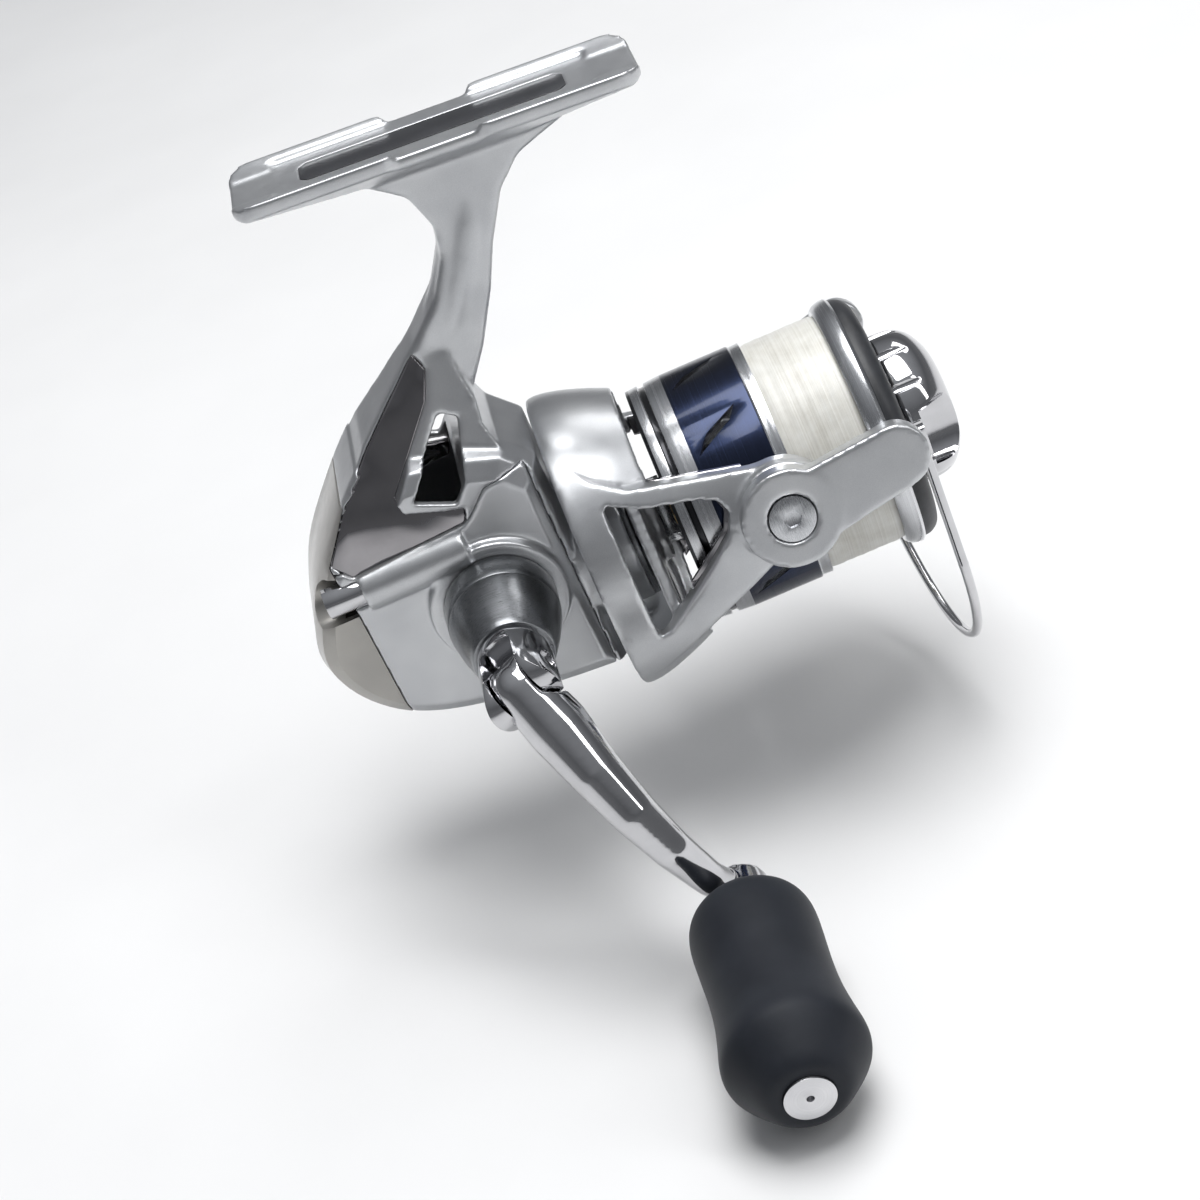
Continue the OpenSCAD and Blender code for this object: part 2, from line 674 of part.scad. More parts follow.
module rotor() color("silver") in_rotor() difference() {
    union() {
        turned_x(concat(curve([[rotor_back, 25.2], [16.2, 25.55], [18, 25.58], [21, 25], [25, 23.7],
            [28.2, 22.4], [29.4, 21.9]]), [[29.4, 21.2], [26.6, 21.4], [24, 22.2], [18, 24],
            [rotor_back, 24]]));
        along_x(hub_x, web_t, 22.6);
        along_x(hub_x, 4, hub_r);
        intersection() {
            tube_x(rotor_back, 58, rotor_in, rotor_r);
            plate_y(-30, 30) arm_shape();
        }
        for (s = [-1, 1]) along_y(s * 23, s * boss_out, arm_end_r - 0.2, x = pivot_x);
    }
    for (s = [-1, 1]) plate_y(s * 18.6, s * 40) arm_window();
    spring_place() translate([0, 0, -0.2]) cylinder(h = 9, r = 1.15);
    along_x(hub_x - 1, 10, pinion_r + seam);
    for (s = [-1, 1]) along_y(s * 20, s * 30, screw_r + seam, x = pivot_x);
    for (a = [45:90:315]) rotate([a, 0, 0]) along_x(hub_x - 1, 5, 4, y = 15);
}

module rotor_liner() color("#4c5056") in_rotor() difference() {
    intersection() {
        tube_x(29.6, 44, rotor_in - 0.8, rotor_in - seam);
        plate_y(-30, 30) difference() {
            arm_shape();
            translate([3.4, 0.4]) scale([0.9, 0.86]) arm_window();
        }
    }
    along_y(-30, 30, 6.8, x = pivot_x);
}

module rotor_nut() color("#b9bcc0") in_rotor() difference() {
    translate([hub_x + 4 + seam, 0, 0]) rotate([0, 90, 0]) cylinder(h = 2.2, r = 6, $fn = 6);
    along_x(28, 5, pinion_r + seam);
}

// Covers of the spring and the kick lever inside the arms
module arm_covers() color("#a9adb2") in_rotor() for (s = [-1, 1]) intersection() {
    tube_x(42, 56, rotor_in - 0.6, rotor_in - seam);
    along_y(s * 18, s * 26, 6.4, 3.2, x = pivot_x);
}

module bail_pivot_screws() color("#a9adb2") in_rotor() for (s = [-1, 1]) difference() {
    union() {
        along_y(s * 23.4, s * (bail_in + bail_t - 1), screw_r, x = pivot_x);
        along_y(s * (bail_in + bail_t - 1), s * (bail_in + bail_t - 0.1), screw_head_r - 0.2, x = pivot_x);
    }
    translate([pivot_x, s * (bail_in + bail_t), 0]) rotate([90, 0, 0])
        cylinder(h = 1.6, r = 1.5, center = true, $fn = 6);
}

// Along the lower bar of the roller side's arm
module spring_place() translate([27, 20.6, -12.5]) rotate([0, 56.5, 17.5]) children();

module bail_spring() color("#c9ccd0") in_rotor() spring_place() coil_spring(8.6, 0.7, 0.25, 8);

// ---------- oscillation: worm, slider, shaft ----------

module worm_shaft() color("#c9ccd0") in_reel() translate([0, worm_y, worm_z]) difference() {
    union() {
        along_x(worm_back + gap, 9.4 - gap - worm_back - gap, worm_r);
        along_x(worm_back - 2, spur_x + spur_t - worm_back + 2, worm_journal_r);
        along_x(11.4 + gap, spur_x - 11.4 - gap, 2);
        translate([spur_x, 0, 0]) rotate([0, 90, 0]) rotate(worm_phase) linear_extrude(spur_t)
            gear_outline(worm_teeth, spur_module * worm_teeth / 2, 3.9, 4.9, 0.12);
    }
    for (i = [0:6], lean = [-24, 24]) translate([-14.6 + i * 2.1, 0, 0]) rotate([0, 0, lean])
        along_x(0, 0.7, 4, worm_r - 0.35);
}

module main_shaft() color("#c9ccd0") in_reel() along_x(slider_x, 76 - slider_x, shaft_r);

module slider() color("#8b8f94") in_reel() difference() {
    union() {
        translate([slider_x, -2.4, slider_floor]) cube([slider_len, 11.3, 1.7 - slider_floor]);
        translate([slider_x, 8, slider_floor]) cube([slider_len, 3, -1.3 - slider_floor]);
    }
    along_x(slider_x - 1, slider_len + 2, shaft_r);
    along_x(slider_x - 1, slider_len + 2, worm_r + 0.25, y = worm_y, z = worm_z);
    for (p = rod_places) along_x(slider_x - 1, slider_len + 2, rod_r + fit, y = p[0], z = p[1]);
    translate([pawl_x, worm_y, slider_floor - 1]) cylinder(h = 3, r = 1);
}

module slider_pawl() color("#b08d57") in_reel() translate([pawl_x, worm_y, slider_floor])
    cylinder(h = worm_z - worm_r - 0.1 - slider_floor, r = 1);

module spool_seat() color("#3a3d42") in_reel() translate([seat_x, 0, 0]) rotate([0, 90, 0]) difference() {
    union() {
        linear_extrude(1.4) gear_outline(24, 6.6, 6.2, 7, 0.1);
        cylinder(h = 4, r = 3.4);
    }
    translate([0, 0, -1]) cylinder(h = 6, r = shaft_r);
}

// Metal washers keyed to the shaft, between felt ones that turn with the spool
module drag_washers() color("#c9ccd0") in_reel()
    for (i = [0:2]) translate([cavity_x + (2 * i + 1) * washer_t, 0, 0])
        along_x(0.03, washer_t - 0.06, cavity_r - 0.6, shaft_r);

// ---------- spool ----------

module spool() color("#b9bdc2") in_reel() difference() {
    turned_x([[skirt_x, 19.3], [skirt_x, 20.2], [33.4, 20.4], [33.6, 19.9], [34.4, 19.9], [34.6, 20.4],
        [37.2, skirt_r], [band_x - 0.4, skirt_r], [band_x, 20.3], [line_x, 20.4], [line_x, arbor_r],
        [lip_back, arbor_r], [lip_back, 20.5], [65, 21.1], [66.2, 21.45], [67, lip_r],
        [lip_x, 21.1], [lip_x, 12],
        [cavity_x, 11.6], [cavity_x, shaft_r + 1.2], [50, shaft_r + 1.2], [50, 11.8], [49, 19.2]]);
    along_x(cavity_x, 20, cavity_r);
    for (i = [0:8]) rotate([i * 40, 0, 0]) translate([38.6, 0, 17]) linear_extrude(6)
        polygon([[0, -1.2], [6.6, 2.6], [8.2, 5], [2.2, 1.8]]);
    for (i = [0:5]) rotate([i * 60, 0, 0]) along_x(48, 5, 1.6, y = 9.4);
}

module lip_ring() color("#22252a") in_reel() turned_x(concat([[lip_x + seam, 13.4]],
    curve([[lip_x + seam, 20.9], [68.6, 20.75], [69.7, 20.1], [70.4, 19], [70.6, 17], [70, 13.4]])));

module line() color("#e9e6dc") in_reel() turned_x([[line_x + seam, arbor_r + seam],
    [line_x + seam, line_r - 0.2], [line_x + 1.4, line_r], [lip_back - 1.4, line_r],
    [lip_back - seam, line_r - 0.3], [lip_back - seam, arbor_r + seam]]);

module spool_bearing() color("#b9bcc0") in_reel() along_x(50.5, 2.5, 2.6, shaft_r + fit);

module drag_felts() color("#7c2f2a") in_reel()
    for (i = [0:2]) along_x(cavity_x + 2 * i * washer_t + 0.03, washer_t - 0.06, cavity_r - 0.1, 3.5);

module drag_retainer() color("#c9ccd0") in_reel() tube_x(62.4, 63.2, cavity_r - 1.2, cavity_r - seam);

// ---------- drag knob ----------

module drag_knob() color("#c6c9cd") in_reel() difference() {
    turned_x(concat([[67.8, 0], [67.8, 9.6], [70.9, 9.8]], curve([[70.9, drag_r - 0.5], [71.6, drag_r],
        [74.5, drag_r - 0.1], [76.8, 11.7], [78.6, 9.4], [79.6, 6.4], [80, 0]])));
    along_x(66, 12, shaft_r + 0.3);
    along_x(67, 5.4, 5.6);
    along_x(71.8, 3.6, 3.4 + seam);
    for (s = [-1, 1]) translate([73.4, s * 10.4, 0]) rotate([0, 90, 0]) scale([1.7, 1, 1])
        cylinder(h = 9, r = 3.4);
    for (i = [0:11]) rotate([15 + i * 30, 0, 0]) along_x(70, 8, 0.9, y = drag_r + 0.4);
}

module drag_nut() color("#b08d57") in_reel() difference() {
    translate([71.9, 0, 0]) rotate([0, 90, 0]) cylinder(h = 3.2, r = 3.3, $fn = 6);
    along_x(71, 6, shaft_r + fit);
}

module drag_spring() color("#c9ccd0") in_reel() translate([63.4, 0, 0]) rotate([0, 90, 0])
    coil_spring(8, 3.2, 0.5, 5);

// ---------- bail ----------

module bail_arm() color("silver") in_rotor() difference() {
    union() {
        along_y(-bail_in, -bail_in - bail_t, bail_hub_r, x = pivot_x);
        hull() {
            along_y(-bail_in - 0.2, -bail_in - bail_t + 0.2, 6, x = pivot_x + 2, $fn = 32);
            along_y(-bail_in, -bail_in - bail_t, tip_r, x = tip_x, z = tip_z, $fn = 32);
        }
    }
    along_y(-20, -40, screw_r + fit, x = pivot_x);
    along_y(-bail_in - bail_t + 1.2, -40, screw_head_r, x = pivot_x);
    in_wire() wire_run(wire_from, 1, wire_r + seam);
}

// The wire's end in the bail arm, and its end in the roller lever, as [across, up]
wire_from = [-bail_in - bail_t / 2, wire_seat];
wire_to = [bail_in + bail_t / 2, wire_far_seat];

// Angle, seen from the bend's centre, where a straight run from p touches the bend
function touch(p, side) = let (d = p - [0, bend_z]) atan2(d[1], d[0]) + side * acos(bend_r / norm(d));

// The leaning plane the wire is bent in: across, up, and forward as its third axis
module in_wire() translate([wire_mid, 0, 0]) rotate([0, 0, wire_lean]) rotate([90, 0, 90]) children();

// A straight run from p down to the bend
module wire_run(p, side, r) {
    angle = touch(p, side);
    run = [bend_r * cos(angle), bend_z + bend_r * sin(angle)] - p;
    translate([p[0], p[1], 0]) rotate(atan2(run[1], run[0])) rotate([0, 90, 0])
        cylinder(h = norm(run), r = r);
}

module bail_wire() color("#c9ccd0") in_rotor() in_wire() {
    wire_run(wire_from, 1, wire_r);
    wire_run(wire_to, -1, wire_r);
    start = touch(wire_from, 1);
    sweep = 360 + touch(wire_to, -1) - start;
    translate([0, bend_z, 0]) {
        rotate(start) rotate_extrude(angle = sweep) translate([bend_r, 0]) circle(r = wire_r);
        for (angle = [start, start + sweep]) rotate(angle) translate([bend_r, 0, 0])
            sphere(r = wire_r + 0.04);
    }
}

module roller_lever() color("silver") in_rotor() difference() {
    hull() {
        along_y(bail_in, bail_in + bail_t, bail_hub_r - 0.6, x = pivot_x, $fn = 32);
        along_y(bail_in, bail_in + bail_t, 4.4, x = roller_x, z = roller_z, $fn = 32);
    }
    in_wire() wire_run(wire_to, -1, wire_r + seam);
    along_y(20, 40, screw_r + fit, x = pivot_x);
    along_y(bail_in + bail_t - 1.2, 40, screw_head_r, x = pivot_x);
    along_y(20, 40, 1.2, x = roller_x, z = roller_z);
}

module roller_screw() color("#b08d57") in_rotor() {
    along_y(roller_in - 1.2, bail_in + bail_t, 1.2, x = roller_x, z = roller_z);
    along_y(roller_in - 1.6, roller_in - 0.3, 2.6, x = roller_x, z = roller_z);
}

module line_roller() color("#c9a24a") in_rotor()
    along_y(roller_in, roller_in + roller_w, roller_r, 1.2 + fit, x = roller_x, z = roller_z);

body_housing();
side_cover();
rear_cover();
side_trim_right();
side_trim_left();
foot_plate();
rear_cover_screw();
body_screws();
far_side_cap();
drive_bearings();
pinion_bush();
pinion_bearing();
roller_clutch();
nose_plate();
worm_bushes();
guide_rods();
drive_shaft();
drive_gear();
handle_collar();
handle_shank();
fold_pin();
handle_arm();
knob_shaft();
knob_bearings();
knob_grip();
knob_cap();
pinion();
clutch_sleeve();
rotor();
rotor_liner();
rotor_nut();
arm_covers();
bail_pivot_screws();
bail_spring();
worm_shaft();
main_shaft();
slider();
slider_pawl();
spool_seat();
drag_washers();
spool();
lip_ring();
line();
spool_bearing();
drag_felts();
drag_retainer();
drag_knob();
drag_nut();
drag_spring();
bail_arm();
bail_wire();
roller_lever();
roller_screw();
line_roller();
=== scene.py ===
import json
import math

import bmesh
import bpy
from mathutils import Matrix, Vector


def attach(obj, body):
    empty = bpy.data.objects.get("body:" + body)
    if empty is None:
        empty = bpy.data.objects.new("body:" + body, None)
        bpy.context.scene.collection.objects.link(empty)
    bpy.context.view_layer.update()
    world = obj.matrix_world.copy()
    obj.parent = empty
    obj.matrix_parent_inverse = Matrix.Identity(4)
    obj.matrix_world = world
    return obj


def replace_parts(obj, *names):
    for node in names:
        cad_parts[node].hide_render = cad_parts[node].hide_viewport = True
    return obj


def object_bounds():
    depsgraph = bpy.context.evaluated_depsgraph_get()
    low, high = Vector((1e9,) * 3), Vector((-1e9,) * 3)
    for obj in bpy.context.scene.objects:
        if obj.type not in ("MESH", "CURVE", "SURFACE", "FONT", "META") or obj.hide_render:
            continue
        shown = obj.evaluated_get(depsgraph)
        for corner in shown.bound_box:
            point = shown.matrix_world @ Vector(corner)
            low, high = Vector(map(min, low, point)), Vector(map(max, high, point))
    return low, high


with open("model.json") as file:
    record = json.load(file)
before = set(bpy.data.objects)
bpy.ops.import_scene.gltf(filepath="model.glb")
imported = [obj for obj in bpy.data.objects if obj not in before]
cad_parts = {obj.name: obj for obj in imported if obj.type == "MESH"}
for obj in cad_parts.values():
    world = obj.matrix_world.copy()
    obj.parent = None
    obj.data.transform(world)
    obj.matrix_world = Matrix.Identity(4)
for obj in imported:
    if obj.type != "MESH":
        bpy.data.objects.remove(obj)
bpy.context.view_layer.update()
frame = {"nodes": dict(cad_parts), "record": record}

nodes = frame["nodes"]
scene = bpy.context.scene
MM = 0.001

# Lengths in this file are in millimetres unless a comment says otherwise. Each matrix below leads
# from a frame in millimetres to the part's own, which is in metres.
# PART_IN_MM: the part's own frame, counted in millimetres.
# TO_PART: X along the spool axis, the origin on that axis right under the crank's.
# ROTOR_TO_PART: the same, turned about X with the rotor as photographed.
# HANDLE_TO_PART: the origin on the crank's axis, the arm along -Z.
# KNOB_TO_PART: the same, moved to the arm's far end.
TILT = math.radians(4.2)
ROLL = math.radians(13.5)
LEAN = math.radians(23.2)
AXIS_BACK, FOOT_DROP, DRIVE_Z, HANDLE_LENGTH = 15.3, 78.9, 4.5, 45
PART_IN_MM = Matrix.Scale(MM, 4)
TO_PART = (PART_IN_MM @ Matrix.Translation((-AXIS_BACK, 0, -FOOT_DROP))
           @ Matrix.Rotation(-TILT, 4, "Y"))
ROTOR_TO_PART = TO_PART @ Matrix.Rotation(-ROLL, 4, "X")
HANDLE_TO_PART = (TO_PART @ Matrix.Translation((0, 0, DRIVE_Z))
                  @ Matrix.Rotation(-LEAN, 4, "Y"))
KNOB_TO_PART = HANDLE_TO_PART @ Matrix.Translation((0, 0, -HANDLE_LENGTH))


# ---------------------------------------------------------------- node helpers
class Tree:
    """A material's node tree, with short names for what the materials below share."""

    def __init__(self, name):
        self.material = bpy.data.materials.new(name)
        self.material.use_nodes = True
        self.nodes = self.material.node_tree.nodes
        self.links = self.material.node_tree.links
        self.shader = self.nodes["Principled BSDF"]

    def add(self, kind, **settings):
        node = self.nodes.new(kind)
        for key, value in settings.items():
            setattr(node, key, value)
        return node

    def link(self, a, b):
        self.links.new(a, b)

    def feed(self, socket, value):
        """Sets a socket to a number or a colour, or links it to another socket."""
        if isinstance(value, (int, float)):
            socket.default_value = value
        elif isinstance(value, tuple):
            socket.default_value = (*value, 1)
        else:
            self.link(value, socket)

    def set(self, **values):
        """Sets the shader's own inputs."""
        for key, value in values.items():
            self.shader.inputs[key.replace("_", " ")].default_value = value

    def mapped(self, vector, scale, rotation=(0, 0, 0), shift=(0, 0, 0)):
        node = self.add("ShaderNodeMapping")
        node.inputs["Scale"].default_value = scale
        node.inputs["Rotation"].default_value = rotation
        node.inputs["Location"].default_value = shift
        self.link(vector, node.inputs["Vector"])
        return node.outputs["Vector"]

    def coords(self, matrix=PART_IN_MM, scale=(1, 1, 1)):
        """Object coordinates in the frame that matrix leads from, then scaled."""
        inverse = matrix.inverted()
        vector = self.add("ShaderNodeTexCoord").outputs["Object"]
        placed = self.mapped(vector, inverse.to_scale(), inverse.to_euler(),
                             inverse.to_translation())
        return self.mapped(placed, scale)

    def math(self, operation, a, b=None, clamp=False):
        node = self.add("ShaderNodeMath", operation=operation, use_clamp=clamp)
        self.feed(node.inputs[0], a)
        if b is not None:
            self.feed(node.inputs[1], b)
        return node.outputs[0]

    def blend(self, a, share_a, b, share_b, clamp=False):
        """The sum of a and b, each times its share."""
        return self.math("ADD", self.math("MULTIPLY", a, share_a),
                         self.math("MULTIPLY", b, share_b), clamp)

    def noise(self, vector, scale, detail=3.0, roughness=0.55):
        node = self.add("ShaderNodeTexNoise")
        node.inputs["Scale"].default_value = scale
        node.inputs["Detail"].default_value = detail
        node.inputs["Roughness"].default_value = roughness
        self.link(vector, node.inputs["Vector"])
        return node.outputs["Fac"]

    def ramp(self, value, stops, interpolation="LINEAR"):
        """A colour ramp with stops of (place, colour)."""
        node = self.add("ShaderNodeValToRGB")
        node.color_ramp.interpolation = interpolation
        while len(node.color_ramp.elements) < len(stops):
            node.color_ramp.elements.new(0.5)
        for element, (place, colour) in zip(node.color_ramp.elements, stops):
            element.position = place
            element.color = (*colour, 1)
        self.link(value, node.inputs["Fac"])
        return node.outputs["Color"]

    def span(self, value, low, high):
        """A value of 0 to 1 spread over low to high."""
        node = self.add("ShaderNodeMapRange")
        node.inputs["To Min"].default_value = low
        node.inputs["To Max"].default_value = high
        self.link(value, node.inputs["Value"])
        return node.outputs["Result"]

    def mix(self, factor, a, b, blend_type="MIX"):
        node = self.add("ShaderNodeMix", data_type="RGBA", blend_type=blend_type)
        for index, value in ((0, factor), (6, a), (7, b)):
            self.feed(node.inputs[index], value)
        return node.outputs[2]

    def bump(self, height, strength, distance, normal=None):
        node = self.add("ShaderNodeBump")
        node.inputs["Strength"].default_value = strength
        node.inputs["Distance"].default_value = distance
        self.link(height, node.inputs["Height"])
        if normal is not None:
            self.link(normal, node.inputs["Normal"])
        return node.outputs["Normal"]

    def axis_parts(self, vector, along="x"):
        """Distance along an axis of the vector's frame, x or y, and radius from it."""
        node = self.add("ShaderNodeSeparateXYZ")
        self.link(vector, node.inputs[0])
        x, y, z = node.outputs
        if along == "y":
            x, y = y, x
        squares = self.math("ADD", self.math("MULTIPLY", y, y), self.math("MULTIPLY", z, z))
        return x, self.math("SQRT", squares)

    def rings(self, distance, radius, per_distance, per_radius, roughness=0.7):
        """Noise that is the same all the way round an axis."""
        node = self.add("ShaderNodeCombineXYZ")
        self.link(self.math("MULTIPLY", distance, per_distance), node.inputs[0])
        self.link(self.math("MULTIPLY", radius, per_radius), node.inputs[1])
        return self.noise(node.outputs[0], 1.0, 4.0, roughness)


# ---------------------------------------------------------------- materials
def painted_metal(name, colour, dark, roughness=0.3, metallic=0.75, coat=0.35, flake=0.5):
    """Metallic paint: fine flakes, cloudy depth and soft orange peel under a thin clear coat."""
    t = Tree(name)
    v = t.coords()
    cloud = t.noise(v, 0.09, 2.0)
    flakes = t.noise(v, 9.0, 2.0, 0.8)
    base = t.ramp(t.blend(cloud, 0.45, flakes, flake, True), [(0.28, dark), (0.62, colour)])
    t.link(base, t.shader.inputs["Base Color"])
    rough = t.span(t.noise(v, 0.6, 4.0), roughness - 0.06, roughness + 0.08)
    t.link(rough, t.shader.inputs["Roughness"])
    peel = t.bump(t.noise(v, 1.4, 2.0), 0.12, 0.02 * MM)
    t.link(t.bump(flakes, 0.10, 0.01 * MM, peel), t.shader.inputs["Normal"])
    t.set(Metallic=metallic, Coat_Weight=coat, Coat_Roughness=0.12)
    return t.material


def polished(name, colour, roughness=0.06, smudge=0.10, scratch=0.05, waviness=0.1):
    """Polished or plated metal: faint smudges, hairline scratches and a slow swell."""
    t = Tree(name)
    v = t.coords()
    cloud = t.noise(v, 0.22, 4.0)
    dull = tuple(c * 0.88 for c in colour)
    t.link(t.ramp(cloud, [(0.3, dull), (0.7, colour)]), t.shader.inputs["Base Color"])
    t.link(t.span(cloud, roughness, roughness + smudge), t.shader.inputs["Roughness"])
    hair = t.noise(t.coords(scale=(0.4, 9.0, 0.4)), 1.6, 3.0)
    swell = t.bump(t.noise(v, 0.07, 1.0), 0.6, waviness * MM)
    t.link(t.bump(hair, scratch, 0.01 * MM, swell), t.shader.inputs["Normal"])
    t.set(Metallic=1.0)
    return t.material


def turned_metal(name, colour, dark, roughness=0.25, metallic=1.0, matrix=TO_PART, along="x",
                 coat=0.0):
    """Metal turned on a lathe: fine rings round an axis, and a slow change of tone."""
    t = Tree(name)
    distance, radius = t.axis_parts(t.coords(matrix), along)
    rings = t.rings(distance, radius, 7.0, 7.0)
    cloud = t.noise(t.coords(), 0.15, 2.0)
    base = t.ramp(t.blend(rings, 0.65, cloud, 0.35), [(0.32, dark), (0.66, colour)])
    t.link(base, t.shader.inputs["Base Color"])
    t.link(t.span(rings, roughness - 0.05, roughness + 0.12), t.shader.inputs["Roughness"])
    t.link(t.bump(rings, 0.18, 0.015 * MM), t.shader.inputs["Normal"])
    t.set(Metallic=metallic, Coat_Weight=coat)
    return t.material


def spool_material():
    """The spool in zones along its axis: rear rings, a dark groove, navy skirt and silver rim."""
    first, last = 30.0, 70.0
    skirt_start, skirt_end, skirt_inside = 37.3, 49.4, 20.45
    silver, navy, dark = (0.66, 0.67, 0.69), (0.020, 0.028, 0.060), (0.035, 0.036, 0.04)
    zones = [(first, dark), (31.8, silver), (33.5, dark), (34.5, silver), (37.4, navy),
             (49.5, silver)]
    t = Tree("spool_zones")
    x, radius = t.axis_parts(t.coords(TO_PART))
    rings = t.rings(x, radius, 9.0, 9.0)
    place = t.add("ShaderNodeMapRange")
    place.inputs["From Min"].default_value = first
    place.inputs["From Max"].default_value = last
    t.link(x, place.inputs["Value"])
    bands = t.ramp(place.outputs["Result"],
                   [((start - first) / (last - first), colour) for start, colour in zones],
                   "CONSTANT")
    # The skirt is navy outside only: its inner wall is bare metal.
    within = t.math("MULTIPLY", t.math("GREATER_THAN", x, skirt_start),
                    t.math("LESS_THAN", x, skirt_end))
    bare = t.math("MULTIPLY", t.math("LESS_THAN", radius, skirt_inside), within)
    zoned = t.mix(bare, bands, silver)
    shade = t.ramp(rings, [(0.3, (0.72, 0.72, 0.72)), (0.65, (1, 1, 1))])
    t.link(t.mix(1.0, zoned, shade, "MULTIPLY"), t.shader.inputs["Base Color"])
    t.link(t.span(rings, 0.16, 0.34), t.shader.inputs["Roughness"])
    t.link(t.bump(rings, 0.2, 0.015 * MM), t.shader.inputs["Normal"])
    t.set(Metallic=1.0, Coat_Weight=0.3, Coat_Roughness=0.08)
    return t.material


def rubber(name, colour, light):
    """Soft moulded grip: dry sheen, fine pores and slow smudges of lighter dust."""
    t = Tree(name)
    v = t.coords()
    pores = t.noise(v, 5.5, 3.0, 0.7)
    cloud = t.noise(v, 0.12, 3.0)
    base = t.ramp(t.blend(cloud, 0.6, pores, 0.4), [(0.35, colour), (0.68, light)])
    t.link(base, t.shader.inputs["Base Color"])
    t.link(t.span(pores, 0.5, 0.72), t.shader.inputs["Roughness"])
    t.link(t.bump(pores, 0.22, 0.03 * MM), t.shader.inputs["Normal"])
    t.set(Sheen_Weight=0.06, Sheen_Roughness=0.4, Specular_IOR_Level=0.3)
    return t.material


def plastic(name, colour, light, roughness=0.4):
    """Moulded plastic with a fine spark-eroded grain."""
    t = Tree(name)
    v = t.coords()
    grain = t.noise(v, 3.0, 3.0, 0.7)
    base = t.ramp(t.noise(v, 0.2, 3.0), [(0.35, colour), (0.7, light)])
    t.link(base, t.shader.inputs["Base Color"])
    t.link(t.span(grain, roughness - 0.08, roughness + 0.1), t.shader.inputs["Roughness"])
    t.link(t.bump(grain, 0.12, 0.02 * MM), t.shader.inputs["Normal"])
    return t.material


def line_material():
    """Wound nylon: milky strands with a silky light along them."""
    t = Tree("wound_strands")
    x, radius = t.axis_parts(t.coords(TO_PART))
    strand = t.rings(x, radius, 4.2, 2.0, 0.75)
    cloud = t.noise(t.coords(), 0.3, 4.0)
    base = t.ramp(t.blend(strand, 0.6, cloud, 0.4),
                  [(0.3, (0.52, 0.50, 0.44)), (0.5, (0.70, 0.69, 0.64)),
                   (0.72, (0.86, 0.86, 0.83))])
    t.link(base, t.shader.inputs["Base Color"])
    t.link(t.span(strand, 0.22, 0.42), t.shader.inputs["Roughness"])
    t.link(t.bump(strand, 0.5, 0.05 * MM), t.shader.inputs["Normal"])
    t.set(Subsurface_Weight=0.12, Subsurface_Scale=0.002, Subsurface_Radius=(1.0, 0.9, 0.7),
          Sheen_Weight=0.2, Specular_IOR_Level=0.6)
    return t.material


def felt(name, colour, light):
    """Pressed felt: short matted fibres."""
    t = Tree(name)
    fibres = t.noise(t.coords(), 7.0, 5.0, 0.8)
    t.link(t.ramp(fibres, [(0.35, colour), (0.7, light)]), t.shader.inputs["Base Color"])
    t.link(t.bump(fibres, 0.6, 0.08 * MM), t.shader.inputs["Normal"])
    t.set(Roughness=0.95, Sheen_Weight=0.4)
    return t.material


MATERIALS = {
    "satin_silver": painted_metal("satin_silver_paint", (0.60, 0.61, 0.62), (0.42, 0.43, 0.45),
                                  roughness=0.33, metallic=0.85, coat=0.25),
    "champagne": painted_metal("champagne_grey_paint", (0.50, 0.48, 0.45), (0.33, 0.32, 0.30),
                               metallic=0.7, coat=0.5, flake=0.3),
    "dark_mirror": polished("dark_mirror_plate", (0.34, 0.33, 0.34), roughness=0.03,
                            smudge=0.04, scratch=0.02, waviness=4.0),
    "charcoal_plate": turned_metal("charcoal_strip", (0.05, 0.052, 0.058),
                                   (0.02, 0.021, 0.024), roughness=0.34, metallic=0.4,
                                   matrix=PART_IN_MM, coat=0.3),
    "bright_chrome": polished("bright_chrome_plate", (0.60, 0.60, 0.615), roughness=0.05,
                              smudge=0.06, scratch=0.03),
    "steel": turned_metal("turned_steel", (0.66, 0.67, 0.69), (0.42, 0.43, 0.45),
                          roughness=0.24),
    "dark_metal": turned_metal("dark_titanium_grey", (0.30, 0.31, 0.32),
                               (0.15, 0.155, 0.165), roughness=0.26, along="y", coat=0.2),
    "brass_parts": turned_metal("golden_brass", (0.74, 0.55, 0.27), (0.46, 0.33, 0.15),
                                roughness=0.22),
    "cast_alloy": painted_metal("cast_alloy", (0.58, 0.59, 0.60), (0.40, 0.41, 0.42),
                                roughness=0.42, metallic=0.9, coat=0.0, flake=0.7),
    "spool_alloy": spool_material(),
    "black_plastic": plastic("satin_black_plastic", (0.012, 0.013, 0.016),
                             (0.030, 0.032, 0.037), roughness=0.46),
    "wound_line": line_material(),
    "felt": felt("red_felt", (0.20, 0.04, 0.035), (0.42, 0.14, 0.12)),
    "soft_rubber": rubber("soft_touch_rubber", (0.006, 0.008, 0.013), (0.014, 0.017, 0.024)),
    "cap_metal": turned_metal("turned_cap_metal", (0.74, 0.74, 0.75), (0.52, 0.52, 0.54),
                              roughness=0.2, matrix=KNOB_TO_PART, along="y"),
}

# ---------------------------------------------------------------- carried-over nodes
# Bevel widths, 0 for none. A node that isn't listed has PLAIN_BEVEL.
PLAIN_BEVEL = 0.1
BEVELS = {"bail_wire": 0, "bail_spring": 0, "drag_spring": 0, "pinion": 0, "worm_shaft": 0,
          "drive_gear": 0, "foot_plate": 0.08, "drag_knob": 0.3, "handle_shank": 0.35,
          "handle_collar": 0.12, "spool": 0.12, "side_trim_right": 0.25,
          "side_trim_left": 0.25, "far_side_cap": 0.25, "rear_cover": 0.3}


